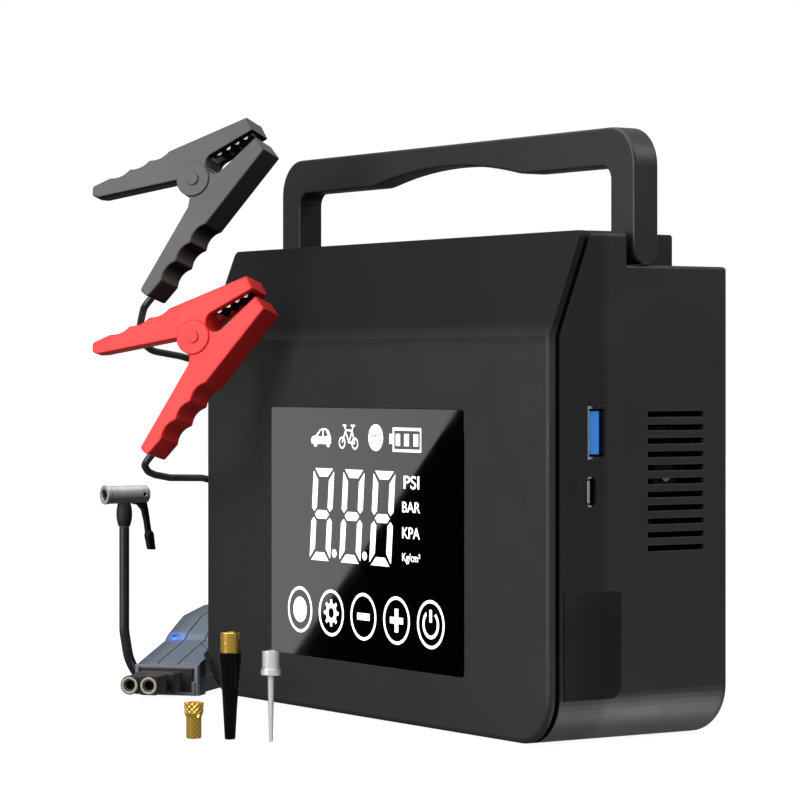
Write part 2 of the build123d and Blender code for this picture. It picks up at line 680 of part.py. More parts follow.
def smart_box_collar():
    """Pale frame round the mouth of the box, with a rounded latch post."""
    frame = block(0, BOX_W, 0, 1.9, 0.1, 11.2)
    frame -= block(1.3, BOX_W - 1.3, -1, 3, 1.2, 10.0)
    post = rounded_box(BOX_W - 2.4, BOX_W - 0.9, -0.6, 0.8, 0.1, 5.2, 0.6, Axis.Z)
    return frame + post


def smart_box_board():
    board = block(3, 18.5, 6, BOX_L - 8, 2.4, 3.6)
    return board + block(6, 14, 40, 50, 3.5, 6) + block(5, 17, 60, 74, 3.5, 8)


def smart_box_led():
    return rod_z(1.6, 8.0, 18.6, *BOX_LAMP)


def ec5_plug():
    """Plug moulded in one with the dark block that fills the mouth of the box."""
    left = rod_y(PLUG_R, *PLUG_Y, PLUG_X[0], PLUG_Z)
    x, z = PLUG_X[1], PLUG_Z
    right = rounded_box(x - PLUG_R, x + PLUG_R, *PLUG_Y, z - PLUG_R, z + PLUG_R, 1.0, Axis.Y)
    body = left + right + block(PLUG_X[0], PLUG_X[1], PLUG_Y[0] + 1.2, PLUG_Y[1], PLUG_Z - 3.0, PLUG_Z + 3.0)
    body += block(1.4, BOX_W - 2.5, 0.9, 1.95, 1.3, 9.9)
    body += block(2.2, 17.5, PLUG_Y[1] - 0.1, 1.0, 1.6, 8.6)
    for x in PLUG_X:
        body -= rod_y(PLUG_R - 0.35, PLUG_Y[0] - 1, PLUG_Y[0] + 6, x, PLUG_Z)
    return body


def ec5_plug_rims():
    y0 = PLUG_Y[0]
    rims = [rod_y(PLUG_R - 0.4, y0 - 0.3, y0 + 5.9, x, PLUG_Z) - rod_y(2.35, y0 - 1, y0 + 7, x, PLUG_Z)
            for x in PLUG_X]
    return Compound(children=rims)


def ec5_plug_contacts():
    y0 = PLUG_Y[0]
    tubes = [rod_y(2.15, y0 + 0.6, y0 + 5.9, x, PLUG_Z) - rod_y(1.7, y0, y0 + 5, x, PLUG_Z) for x in PLUG_X]
    return Compound(children=tubes)


def air_hose():
    x, y = HOSE_XY
    points = [(x, y, 61.3), (x, y, 22.0), (x - 1.0, y + 2.4, 11.5), (x - 4.0, y + 8.0, 4.2),
              (-160.5, -22.5, 2.5), (-182, 2, 2.5),
              (-190, 26, 2.5), (-170, 40, 8), (-140, 24, 46), (-132, OUTLET[0], OUTLET[1]),
              (-119.2, OUTLET[0], OUTLET[1])]
    return tube(points, HOSE_R, 1.0)


def hose_coupling():
    """Screw-on end that takes the hose to the outlet on the left wall."""
    nut = rod_x(5.4, -HALF - 7.4, -HALF - 0.6, *OUTLET)
    nut += rod_x(3.0, -119.0, -HALF - 7.3, *OUTLET)
    return nut - rod_x(4.05, -HALF - 4.4, -HALF, *OUTLET) - rod_x(1.0, -120, -HALF, *OUTLET)


def chuck_collar():
    """Rubber neck, swollen in the middle."""
    x, y = HOSE_XY
    low, high = 61.4, 70.4
    bulge = ThreePointArc((2.2, 0, low), (3.0, 0, low + 4.2), (2.3, 0, high)).edge()
    rest = Polyline((2.3, 0, high), (0, 0, high), (0, 0, low), (2.2, 0, low)).edges()
    collar = Pos(x, y, 0) * revolve(make_face([bulge, *rest]), axis=Axis.Z)
    return collar - rod_y(CHUCK_R + 0.05, y - 8, y + 8, x, CHUCK_Z)


def chuck_body():
    x = HOSE_XY[0]
    y0, y1 = CHUCK_Y
    body = rod_y(CHUCK_R, y0 + 1.2, y1, x, CHUCK_Z) + rod_y(CHUCK_R + 0.2, y0, y0 + 1.3, x, CHUCK_Z)
    body = fillet(body.edges().sort_by(Axis.Y)[-1:], 0.8)
    body += rod_z(2.0, 70.45, CHUCK_Z, x, HOSE_XY[1]) & rod_y(CHUCK_R, y0, y1, x, CHUCK_Z)
    body -= rod_y(2.2, y0 - 1, y0 + 8, x, CHUCK_Z)
    body += rod_y(0.6, y0 + 1.6, y0 + 8.5, x, CHUCK_Z)
    body -= block(x - 1.35, x + 1.35, y1 - 6.4, y1 + 1, CHUCK_Z - 5, CHUCK_Z + 2.0)
    return body - rod_x(0.72, x - 5, x + 5, y1 - 2.6, CHUCK_Z)


def chuck_seal():
    x = HOSE_XY[0]
    y0 = CHUCK_Y[0]
    return rod_y(2.15, y0 + 0.6, y0 + 5, x, CHUCK_Z) - rod_y(1.2, y0, y0 + 6, x, CHUCK_Z)


def chuck_lever():
    """Thin lever on a cross pin, with a flared root and a thicker grip."""
    x, y, z = HOSE_XY[0], CHUCK_Y[1] - 2.6, CHUCK_Z
    arm = [(-1.6, 0), (-3.2, -2.4), (-3.2, -3.8), (-1.4, -3.9), (0.6, -6.1), (1.7, -10.4), (2.4, -14.8),
           (4.0, -14.2), (2.8, -6.8), (1.6, -1.3), (1.6, 0)]
    grip = [(2.6, -14.2), (2.2, -15.6), (3.4, -21.0), (5.6, -21.0), (4.8, -14.8), (4.0, -13.8)]
    body = side_profile([(y + dy, z + dz) for dy, dz in arm], x - 1.2, x + 1.2)
    body += rod_x(1.75, x - 1.2, x + 1.2, y, z)
    body += side_profile([(y + dy, z + dz) for dy, dz in grip], x - 1.5, x + 1.5)
    return body + rod_x(0.68, x - 3.1, x + 3.1, y, z)


def presta_adapter():
    x, y = PRESTA_AT
    body = rod_z(2.5, STAND, 8.0, x, y)
    flare = make_face(Polyline((0, 0, 7.2), (2.5, 0, 7.2), (3.1, 0, 8.6), (3.2, 0, 12.0), (0, 0, 12.0), close=True))
    body += Pos(x, y, 0) * revolve(flare, axis=Axis.Z)
    body = chamfer(body.edges().group_by(Axis.Z)[0], 0.3)
    return body - rod_z(1.6, 0, 13, x, y)


def cone_nozzle():
    x, y = CONE_AT
    side = [(0, STAND), (1.55, STAND), (1.75, STAND + 0.3), (2.7, 17), (3.65, 26.5), (3.75, 28.4), (0, 28.4)]
    body = Pos(x, y, 0) * revolve(make_face(Polyline(*[(r, 0, z) for r, z in side], close=True)), axis=Axis.Z)
    return body - rod_z(0.8, 0, 24, x, y) - rod_z(2.2, 22, 30, x, y)


def cone_collar():
    x, y = CONE_AT
    collar = rod_z(3.2, 28.45, 35.0, x, y) + rod_z(2.15, 22.2, 28.5, x, y)
    collar = chamfer(collar.edges().group_by(Axis.Z)[-1], 0.25)
    return collar - rod_z(1.2, 20, 36, x, y)


def ball_needle():
    x, y = NEEDLE_AT
    side = [(0, STAND), (0.5, STAND), (0.65, STAND + 0.5), (1.1, 21.9), (3.3, 21.9), (3.35, 22.3), (3.3, 23.8),
            (2.9, 24.0), (2.9, 29.7), (0, 29.7)]
    body = Pos(x, y, 0) * revolve(make_face(Polyline(*[(r, 0, z) for r, z in side], close=True)), axis=Axis.Z)
    return body - rod_z(0.3, 0, 24, x, y) - rod_z(1.7, 23, 31, x, y)


def export(shape, name):
    export_step(shape, f"parts/{name}.step")


def cable_to_box(points, across):
    """Cable that ends inside the round hole in the rear wall of the box."""
    outside = box_plane().location * Pos(across, BOX_L + 14, 12.4)
    inside = box_plane().location * Pos(across, BOX_L - 3.5, 12.4)
    return tube(points + [tuple(outside.position), tuple(inside.position)], CABLE_R, bend=26)


def red_cable():
    points = [(-74.45, -77.65, 89.93), (-76.3, -79.8, 86.4), (-82.5, -74.8, 83.6), (-89.2, -68.2, 82.2),
              (-101.1, -55.3, 80.6), (-119.5, -31.0, 79.6), (-140, 0, 74), (-172, 36, 40)]
    return cable_to_box(points, 15.5)


def black_cable():
    points = [(-74.45, -77.65, 145.93), (-76.3, -79.8, 142.4), (-91.4, -72.5, 139.0), (-105.5, -65.6, 135.2),
              (-112.3, -61.3, 131.0), (-117.7, -53.9, 127.3), (-129.0, -35.0, 125.4), (-146, -4, 120),
              (-176, 30, 70)]
    return cable_to_box(points, 7.0)


for make in (front_cover, rear_housing, base_pad, display_lens, display_module, main_board, usb_a_shell,
             usb_a_tongue, usb_c_socket, port_flap, ec5_socket, ec5_socket_pins,
             led_lens, led_board, air_outlet, carry_handle, handle_pins, housing_screws, battery_cells,
             battery_bracket, bms_board, motor_can, motor_rotor, crank_gear, cooling_fan,
             pump_body, cylinder_head, air_line, air_hose, hose_coupling, chuck_collar, chuck_body,
             chuck_seal, chuck_lever, presta_adapter, cone_nozzle, cone_collar,
             ball_needle, red_cable, black_cable):
    export(make(), make.__name__)

for make in (smart_box_base, smart_box_cover, smart_box_collar, smart_box_board,
             smart_box_led, ec5_plug, ec5_plug_rims, ec5_plug_contacts):
    export(box_plane().location * make(), make.__name__)

for colour, at in (("red", RED_AT), ("black", BLACK_AT)):
    save_clamp(colour + "_clamp_lower", at, fixed_half())
    save_clamp(colour + "_clamp_upper", at, moving_half())
    save_clamp(colour + "_clamp_pin", at, clamp_pin())
    save_clamp(colour + "_clamp_spring", at, clamp_spring())
    save_clamp(colour + "_teeth_upper", at, jaw_teeth(True))
    save_clamp(colour + "_teeth_lower", at, jaw_teeth(False))
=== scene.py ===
import bpy
import json
import math
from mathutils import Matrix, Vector


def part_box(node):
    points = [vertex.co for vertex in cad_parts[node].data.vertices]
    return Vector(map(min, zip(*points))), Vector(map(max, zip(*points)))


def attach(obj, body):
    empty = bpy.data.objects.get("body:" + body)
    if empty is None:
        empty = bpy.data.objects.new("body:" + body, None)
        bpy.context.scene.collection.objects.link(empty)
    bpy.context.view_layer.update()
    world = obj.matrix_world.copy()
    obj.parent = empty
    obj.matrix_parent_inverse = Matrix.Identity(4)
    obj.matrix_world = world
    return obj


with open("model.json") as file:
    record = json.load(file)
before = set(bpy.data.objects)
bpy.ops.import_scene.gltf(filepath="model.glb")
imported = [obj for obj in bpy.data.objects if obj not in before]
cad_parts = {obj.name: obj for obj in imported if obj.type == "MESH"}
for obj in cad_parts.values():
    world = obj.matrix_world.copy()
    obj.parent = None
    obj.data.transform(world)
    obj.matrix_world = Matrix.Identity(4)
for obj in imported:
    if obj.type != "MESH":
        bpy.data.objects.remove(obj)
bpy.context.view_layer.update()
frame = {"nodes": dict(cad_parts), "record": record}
nodes = frame["nodes"]
MM = 0.001
FRONT = -0.036          # plane of the screen
SKIN = 0.00004          # how far the lit symbols stand in front of the glass
CAMERA_PLACE = (0.9131, -0.6246, 0.1181)
CAMERA_TURN = 56.53     # degrees about the vertical
CAMERA_LENS = 142.19    # focal length in mm, on the sensor below
CAMERA_SENSOR = 36.0
CAMERA_SHIFT = -0.03055  # lowers the picture, so that the camera needs no tilt
BUTTON_Z = 35.2         # height of the row of touch buttons, mm
BUTTON_STEP = 20.7      # from one button to the next, mm
KNURLS = 11.0           # ridges of each hand round the brass adapter
KNURL_TWIST = 3600.0    # how fast the ridges wind with height, radians per metre
KNURL_START = (0.0081, 0.0087)  # heights between which the knurl sets in


# ---------------------------------------------------------------- materials

class Net:
    """Small helper round one material's node tree."""

    def __init__(self, name):
        self.material = bpy.data.materials.new(name)
        self.material.use_nodes = True
        self.tree = self.material.node_tree
        self.shader = self.tree.nodes["Principled BSDF"]
        self.place = self.add("ShaderNodeTexCoord").outputs["Object"]

    @classmethod
    def of(cls, material):
        """The same helper for a material that already has its nodes."""
        net = cls.__new__(cls)
        net.material = material
        net.tree = material.node_tree
        net.shader = net.tree.nodes["Principled BSDF"]
        net.place = next(n for n in net.tree.nodes if n.type == "TEX_COORD").outputs["Object"]
        return net

    def add(self, kind, **values):
        """A new node, with its settings."""
        node = self.tree.nodes.new(kind)
        for key, value in values.items():
            setattr(node, key, value)
        return node

    def link(self, a, b):
        self.tree.links.new(a, b)

    def noise(self, scale, detail=3.0, stretch=(1, 1, 1)):
        """Soft noise over the piece, about 0.3 to 0.7."""
        shift = self.add("ShaderNodeMapping")
        shift.inputs["Scale"].default_value = stretch
        self.link(self.place, shift.inputs["Vector"])
        node = self.add("ShaderNodeTexNoise")
        node.inputs["Scale"].default_value = scale
        node.inputs["Detail"].default_value = detail
        self.link(shift.outputs[0], node.inputs["Vector"])
        return node.outputs["Fac"]

    def remap(self, value, low, high, start=0.3, end=0.7):
        """Takes start..end to low..high and holds the ends."""
        node = self.add("ShaderNodeMapRange")
        for key, number in (("From Min", start), ("From Max", end), ("To Min", low), ("To Max", high)):
            node.inputs[key].default_value = number
        self.link(value, node.inputs["Value"])
        return node.outputs["Result"]

    def vary(self, value, color, amount):
        """Base colour that drifts a little lighter and darker."""
        node = self.add("ShaderNodeMix", data_type="RGBA")
        node.inputs["A"].default_value = [c * (1 - amount) for c in color] + [1]
        node.inputs["B"].default_value = [c * (1 + amount) for c in color] + [1]
        self.link(value, node.inputs["Factor"])
        self.link(node.outputs["Result"], self.shader.inputs["Base Color"])

    def axis(self, which):
        """One coordinate of a point of the piece, in metres."""
        split = self.add("ShaderNodeSeparateXYZ")
        self.link(self.place, split.inputs[0])
        return split.outputs[which]

    def tone(self, factor):
        """Paints light and shade: scales the base colour and the sheen by a factor that changes over the
        piece.
        """
        target = self.shader.inputs["Base Color"]
        color = target.links[0].from_socket
        scale = self.add("ShaderNodeVectorMath", operation="SCALE")
        self.link(color, scale.inputs[0])
        self.link(factor, scale.inputs["Scale"])
        self.link(scale.outputs[0], target)
        sheen = self.add("ShaderNodeMath", operation="MULTIPLY")
        sheen.inputs[1].default_value = self.shader.inputs["Specular IOR Level"].default_value
        self.link(factor, sheen.inputs[0])
        self.link(sheen.outputs[0], self.shader.inputs["Specular IOR Level"])

    def facing(self, direction):
        """How much the surface looks along a direction, from -1 to 1."""
        shape = self.add("ShaderNodeNewGeometry")
        node = self.add("ShaderNodeVectorMath", operation="DOT_PRODUCT")
        self.link(shape.outputs["True Normal"], node.inputs[0])
        node.inputs[1].default_value = Vector(direction).normalized()
        return node.outputs["Value"]

    def along(self, direction):
        """Distance of a point along a direction, in metres."""
        node = self.add("ShaderNodeVectorMath", operation="DOT_PRODUCT")
        self.link(self.place, node.inputs[0])
        node.inputs[1].default_value = direction
        return node.outputs["Value"]

    def times(self, a, b):
        node = self.add("ShaderNodeMath", operation="MULTIPLY")
        self.link(a, node.inputs[0])
        self.link(b, node.inputs[1])
        return node.outputs[0]

    def bump(self, value, strength, depth, under):
        """Fine relief on top of the normal that comes from under."""
        node = self.add("ShaderNodeBump")
        node.inputs["Strength"].default_value = strength
        node.inputs["Distance"].default_value = depth
        self.link(value, node.inputs["Height"])
        self.link(under, node.inputs["Normal"])
        self.link(node.outputs[0], self.shader.inputs["Normal"])

    def round_edges(self, radius):
        """Normal that makes sharp edges look rounded."""
        node = self.add("ShaderNodeBevel", samples=6)
        node.inputs["Radius"].default_value = radius
        return node.outputs[0]

    def set(self, **values):
        names = {"rough": "Roughness", "metal": "Metallic", "spec": "Specular IOR Level",
                 "emit": "Emission Strength"}
        for key, value in values.items():
            self.shader.inputs[names[key]].default_value = value


def plastic(name, color, rough=0.45, grain=900.0, relief=0.12, edge=0.0005, spec=0.5, drift=0.08):
    """Moulded plastic: fine spark-eroded grain, slight colour drift, softened edges."""
    net = Net(name)
    net.vary(net.remap(net.noise(14.0, 4.0), 0, 1), color, drift)
    net.link(net.remap(net.noise(60.0, 3.0), rough * 0.9, rough * 1.12), net.shader.inputs["Roughness"])
    net.bump(net.noise(grain, 2.0), relief, 0.00008, net.round_edges(edge))
    net.set(spec=spec)
    return net.material


def front_plastic():
    """Front cover with painted shade: much darker on the leaning upper part, and darker towards the left."""
    material = plastic("front_shell", (0.021, 0.021, 0.0215), 0.5, 1100, 0.1)
    net = Net.of(material)
    # painted shade: darker towards the left, and much darker above the bend of the upper part
    across = net.remap(net.axis("X"), 0.72, 0.95, -0.1, 0.09)
    net.tone(net.times(net.remap(net.axis("Z"), 0.86, 0.31, 0.127, 0.135), across))
    return material


def rear_plastic():
    """Rear housing with painted light and shade: a little lighter towards the top, lighter behind its front
    edge, and much lighter where it faces down, as painted light from below.
    """
    material = plastic("rear_shell", (0.016, 0.016, 0.0165), 0.5, 1100, 0.1)
    net = Net.of(material)
    # painted light and shade by height, by depth and on the faces that look down
    height = net.remap(net.axis("Z"), 0.62, 0.66, 0.06, 0.15)
    depth = net.remap(net.axis("Y"), 0.85, 1.15, -0.015, -0.012)
    under = net.remap(net.facing((0.3, 0.1, -1)), 1.0, 5.5, 0.3, 1.0)
    net.tone(net.times(net.times(height, depth), under))
    return material


def side_shaded(name, color, shade, side=(1, 0, 0)):
    """Plastic with painted shade: its faces on one side are darker than the others."""
    material = plastic(name, color, 0.45, 1100, 0.1)
    net = Net.of(material)
    net.tone(net.remap(net.facing(side), 1.0, shade, 0.3, 0.9))
    return material


def metal_with_painted_shade(name, color, rough, streaks, scale, mirror, toward=(0.834, -0.552, 0)):
    """Bright metal whose round sides fall off into painted shade, brightest where it faces toward."""
    material = metal(name, color, rough, streaks, scale, mirror=mirror)
    net = Net.of(material)
    # painted shade and painted highlight by the direction the surface faces
    net.tone(net.remap(net.facing(toward), 0.22, 1.12, 0.25, 0.97))
    return material


def handle_plastic():
    """Handle with painted shade on its right-hand faces and towards its left end."""
    material = side_shaded("handle_shell", (0.019, 0.019, 0.0195), 0.42)
    net = Net.of(material)
    # painted shade towards the left end
    net.tone(net.remap(net.axis("X"), 0.62, 0.97, -0.1, 0.09))
    return material


def box_plastic():
    """Slate hood with painted shade, dark on its right wall and left edge, and the lamp's halo on the roof as
    a painted glow.
    """
    material = side_shaded("box_slate", (0.115, 0.16, 0.215), 0.2, (0.76, 0.65, 0))
    net = Net.of(material)
    low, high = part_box("smart_box_led")
    away = net.add("ShaderNodeVectorMath", operation="DISTANCE")
    net.link(net.place, away.inputs[0])
    away.inputs[1].default_value = [(a + b) / 2 for a, b in zip(low, high)][:2] + [high[2]]
    # painted shade along the left edge
    net.tone(net.remap(net.along((0.76, 0.65, 0)), 0.5, 1.05, -0.1277, -0.1205))
    # painted light: the roof itself glows blue round the lamp
    net.shader.inputs["Emission Color"].default_value = (0.03, 0.16, 0.9, 1)
    halo = net.remap(away.outputs["Value"], 0.75, 0.0, 0.0012, 0.0075)
    net.link(net.times(halo, halo), net.shader.inputs["Emission Strength"])
    return material


def blue_with_painted_glow():
    """Blue tongue of the socket with a painted glow, brightest along its rear half."""
    material = plastic("usb_blue", (0.045, 0.27, 0.8), 0.35, 900, 0.05)
    net = Net.of(material)
    # painted light: the tongue gives off light of its own
    net.shader.inputs["Emission Color"].default_value = (0.02, 0.13, 0.42, 1)
    net.link(net.remap(net.axis("Y"), 0.04, 0.38, -0.0195, -0.0165), net.shader.inputs["Emission Strength"])
    return material


def socket_shell():
    """Plated frame of the larger socket, bright along its front edge only, with painted shade deeper in."""
    material = metal("socket_shell", (0.75, 0.76, 0.78), 0.25, (1, 4, 1))
    net = Net.of(material)
    # painted shade inside the socket
    net.tone(net.remap(net.axis("Y"), 1.0, 0.05, -0.0205, -0.0185))
    return material


def socket_strip():
    """Small oval socket: dark frame at its front face, painted shade deep inside, grey tongue between."""
    material = metal("socket_strip", (0.42, 0.42, 0.43), 0.4, (1, 1, 1))
    net = Net.of(material)
    # darker at the front face and, as painted shade, deep inside the socket
    front = net.remap(net.axis("Y"), 0.02, 1.0, -0.0209, -0.0205)
    back = net.remap(net.axis("Y"), 1.0, 0.02, -0.0195, -0.0191)
    net.tone(net.times(front, back))
    net.set(metal=0.4)
    return material


def flap_rubber():
    """Port cover with painted shade, a little darker towards the back and the bottom, so that it fades into
    the wall round it.
    """
    material = rubber("flap_rubber", (0.016, 0.016, 0.0165), 0.5)
    net = Net.of(material)
    # painted shade towards the back and the bottom
    across = net.remap(net.axis("Y"), 0.72, 0.5, -0.028, -0.016)
    up = net.remap(net.axis("Z"), 0.8, 1.0, 0.04, 0.05)
    net.tone(net.times(across, up))
    return material


def clamp_plastic(name, color, shade):
    """Moulded clamp half with painted shade: deep shade on the faces that look down."""
    material = plastic(name, color, 0.36, 700, 0.06, 0.0007, 0.16)
    net = Net.of(material)
    net.tone(net.remap(net.facing((0, 0, 1)), shade, 1.0, -0.75, -0.1))
    return material


def jaw_steel():
    """Toothed strip with painted light and shade: bright end faces, near-black working faces."""
    material = metal("jaw_steel", (0.85, 0.84, 0.8), 0.35, (1, 1, 1), 400)
    net = Net.of(material)
    # painted light and shade: faces that look along the clamp's face are bright, the others near black
    front = net.facing((0.5752, -0.7991, 0.1747))
    net.tone(net.remap(front, 0.01, 1.0, 0.7, 0.9))
    net.link(net.remap(front, 0.6, 0.15, 0.7, 0.9), net.shader.inputs["Metallic"])
    return material


def rubber(name, color, rough=0.62, grain=1500.0, relief=0.2, spec=0.35):
    """Matt rubber with a fine skin."""
    net = Net(name)
    net.vary(net.remap(net.noise(30.0, 4.0), 0, 1), color, 0.12)
    net.link(net.remap(net.noise(120.0, 3.0), rough * 0.88, rough * 1.1), net.shader.inputs["Roughness"])
    net.bump(net.noise(grain, 3.0), relief, 0.0001, net.round_edges(0.0003))
    net.set(spec=spec)
    return net.material


def metal(name, color, rough=0.22, streaks=(1, 1, 1), scale=500.0, drift=0.05, edge=0.0002, mirror=1.0):
    """Metal with fine directional machining marks and uneven polish."""
    net = Net(name)
    marks = net.noise(scale, 3.0, streaks)
    net.vary(net.remap(net.noise(25.0, 4.0), 0, 1), color, drift)
    net.link(net.remap(marks, rough * 0.75, rough * 1.3), net.shader.inputs["Roughness"])
    net.bump(marks, 0.04, 0.00004, net.round_edges(edge))
    net.set(metal=mirror)
    return net.material


def screen_glass():
    """Near-black glass, faintly uneven."""
    net = Net("screen_glass")
    net.vary(net.remap(net.noise(9.0, 3.0), 0, 1), (0.0006, 0.0006, 0.0007), 0.3)
    net.link(net.remap(net.noise(40.0, 4.0), 0.012, 0.03), net.shader.inputs["Roughness"])
    net.bump(net.noise(6.0, 1.0), 0.02, 0.00005, net.round_edges(0.0002))
    net.set(spec=0.5)
    return net.material


def lit(name, color, strength):
    """Symbol lit almost evenly, as behind a light guide; only the camera sees its light."""
    net = Net(name)
    path = net.add("ShaderNodeLightPath")
    glow = net.times(net.remap(net.noise(90.0, 2.0), strength * 0.94, strength * 1.04),
                     path.outputs["Is Camera Ray"])
    net.vary(net.remap(net.noise(50.0, 2.0), 0, 1), color, 0.02)
    net.shader.inputs["Emission Color"].default_value = list(color) + [1]
    net.link(glow, net.shader.inputs["Emission Strength"])
    net.set(rough=0.4)
    return net.material


def knurled_brass():
    """Brass with a diamond knurl on its wider head, smoother below."""
    low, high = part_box("presta_adapter")
    net = Net("knurled_brass")
    centre = net.add("ShaderNodeVectorMath", operation="SUBTRACT")
    net.link(net.place, centre.inputs[0])
    centre.inputs[1].default_value = ((low[0] + high[0]) / 2, (low[1] + high[1]) / 2, 0)
    split = net.add("ShaderNodeSeparateXYZ")
    net.link(centre.outputs[0], split.inputs[0])
    angle = net.add("ShaderNodeMath", operation="ARCTAN2")
    net.link(split.outputs["Y"], angle.inputs[0])
    net.link(split.outputs["X"], angle.inputs[1])
    waves = []
    for sign in (1, -1):
        turn = net.add("ShaderNodeMath", operation="MULTIPLY")
        net.link(angle.outputs[0], turn.inputs[0])
        turn.inputs[1].default_value = KNURLS
        mixed = net.add("ShaderNodeMath", operation="MULTIPLY_ADD")
        net.link(split.outputs["Z"], mixed.inputs[0])
        mixed.inputs[1].default_value = sign * KNURL_TWIST
        net.link(turn.outputs[0], mixed.inputs[2])
        wave = net.add("ShaderNodeMath", operation="SINE")
        net.link(mixed.outputs[0], wave.inputs[0])
        waves.append(wave)
    height = net.add("ShaderNodeMath", operation="ADD")
    for i in (0, 1):
        net.link(waves[i].outputs[0], height.inputs[i])
    head = net.remap(split.outputs["Z"], 0, 1, *KNURL_START)
    # painted light and shade: lighter where the knurl pattern stands high, darker where it sinks, over the
    # whole piece
    net.vary(net.remap(height.outputs[0], 0, 1, -1.5, 1.5), (0.88, 0.54, 0.1), 0.25)
    net.bump(net.times(height.outputs[0], head), 0.9, 0.00018, net.round_edges(0.0001))
    net.link(net.remap(head, 0.16, 0.33, 0, 1), net.shader.inputs["Roughness"])
    net.set(metal=0.8)
    return net.material


FINISH = {
    "front_shell": front_plastic(),
    "rear_shell": rear_plastic(),
    "flap_rubber": flap_rubber(),
    "jaw_steel": jaw_steel(),
    "handle_shell": handle_plastic(),
    "soft_rubber": rubber("soft_rubber", (0.012, 0.012, 0.012)),
    "screen_glass": screen_glass(),
    "panel_black": plastic("panel_black", (0.01, 0.01, 0.011), 0.6),
    "board_green": plastic("board_green", (0.01, 0.07, 0.03), 0.4, 300, 0.3),
    "socket_shell": socket_shell(),
    "socket_strip": socket_strip(),
    "usb_blue": blue_with_painted_glow(),
    "connector_black": plastic("connector_black", (0.004, 0.004, 0.0045), 0.35, spec=0.3),
    # painted shade: contacts coloured much darker than brass, for the shade in the plug's bores
    "contact_brass": metal("contact_brass", (0.10, 0.075, 0.04), 0.5),
    "clear_lens": plastic("clear_lens", (0.75, 0.78, 0.8), 0.08, 200, 0.02),
    "steel": metal("steel", (0.45, 0.45, 0.46), 0.3),
    "cell_wrap": plastic("cell_wrap", (0.02, 0.08, 0.25), 0.3),
    "bracket_grey": plastic("bracket_grey", (0.06, 0.06, 0.06), 0.5),
    "fan_black": plastic("fan_black", (0.006, 0.006, 0.006), 0.5),
    "gear_white": plastic("gear_white", (0.6, 0.59, 0.55), 0.4),
    "cast_alloy": metal("cast_alloy", (0.25, 0.25, 0.26), 0.5, (1, 1, 1), 900),
    "tube_clear": rubber("tube_clear", (0.2, 0.2, 0.2), 0.3),
    "clamp_red": clamp_plastic("clamp_red", (0.98, 0.042, 0.039), 0.62),
    "clamp_black": clamp_plastic("clamp_black", (0.1, 0.1, 0.101), 0.12),
    "cable_black": rubber("cable_black", (0.016, 0.017, 0.02), 0.4, 700, 0.1, 0.5),
    "box_slate": box_plastic(),
    "collar_grey": plastic("collar_grey", (0.17, 0.18, 0.2), 0.3, 900, 0.05),
    "led_blue": lit("led_blue", (0.04, 0.2, 1.0), 1.4),
    "rim_ivory": plastic("rim_ivory", (0.42, 0.4, 0.37), 0.25, 500, 0.04, 0.0003),
    # these three metals carry painted shade; the chuck's is a painted highlight along its top
    "chuck_chrome": metal_with_painted_shade("chuck_chrome", (0.97, 0.97, 0.98), 0.28, (1, 6, 1), 60, 0.45, (0.6, -0.4, 0.7)),
    "brass_gold": metal_with_painted_shade("brass_gold", (0.95, 0.6, 0.1), 0.16, (1, 1, 10), 300, 0.8),
    "cone_black": plastic("cone_black", (0.001, 0.001, 0.001), 0.12, 200, 0.02, 0.0003, 0.3),
    "needle_chrome": metal_with_painted_shade("needle_chrome", (0.97, 0.97, 0.98), 0.16, (1, 1, 10), 300, 0.5),
}
FINISH["knurled_brass"] = knurled_brass()
WHITE = lit("symbol_white", (1.0, 1.0, 1.0), 0.98)
DARK = plastic("symbol_gap", (0.16, 0.16, 0.16), 0.4)

slots = {part["node"]: part["material_slot"] for part in frame["record"]["subparts"]}
special = {"usb_a_shell": "socket_shell", "usb_c_socket": "socket_strip", "carry_handle": "handle_shell",
           "presta_adapter": "knurled_brass", "port_flap": "flap_rubber"}
for side in ("red", "black"):
    for row in ("upper", "lower"):
        special[f"{side}_teeth_{row}"] = "jaw_steel"
# pieces that the photo's glass and metal do not mirror
unmirrored = ("red_cable", "black_cable", "air_hose", "chuck_lever", "chuck_body", "chuck_collar",
              "smart_box_cover", "smart_box_base", "smart_box_collar", "ec5_plug", "ec5_plug_rims",
              "red_clamp_lower", "red_clamp_upper", "black_clamp_lower", "black_clamp_upper", "cone_nozzle")
for name, obj in nodes.items():
    obj.data.materials.clear()
    obj.data.materials.append(FINISH[special.get(name, slots[name])])
    obj.visible_glossy = name not in unmirrored


# ---------------------------------------------------------------- lit symbols

def flat_piece(name, loops, material=None, lift=0.0):
    """Filled outline on the face of the screen; loops are closed lists of (x, z) in mm."""
    curve = bpy.data.curves.new(name, "CURVE")
    curve.dimensions = "2D"
    curve.fill_mode = "BOTH"
    curve.extrude = 0.00002
    curve.offset = -0.0001
    for loop in loops:
        spline = curve.splines.new("POLY")
        spline.points.add(len(loop) - 1)
        for point, (x, z) in zip(spline.points, loop):
            point.co = (x * MM, z * MM, 0, 1)
        spline.use_cyclic_u = True
    obj = bpy.data.objects.new(name, curve)
    bpy.context.scene.collection.objects.link(obj)
    obj.rotation_euler = (math.pi / 2, 0, 0)
    obj.location = (0, FRONT - SKIN - lift, 0)
    curve.materials.append(material or WHITE)
    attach(obj, "unit")
    return obj


def ring(x, z, r, steps, start=0.0, turn=360.0):
    """Points round a circle, or round the part of it that turn covers."""
    return [(x + r * math.cos(math.radians(start + turn * i / steps)),
             z + r * math.sin(math.radians(start + turn * i / steps))) for i in range(steps)]


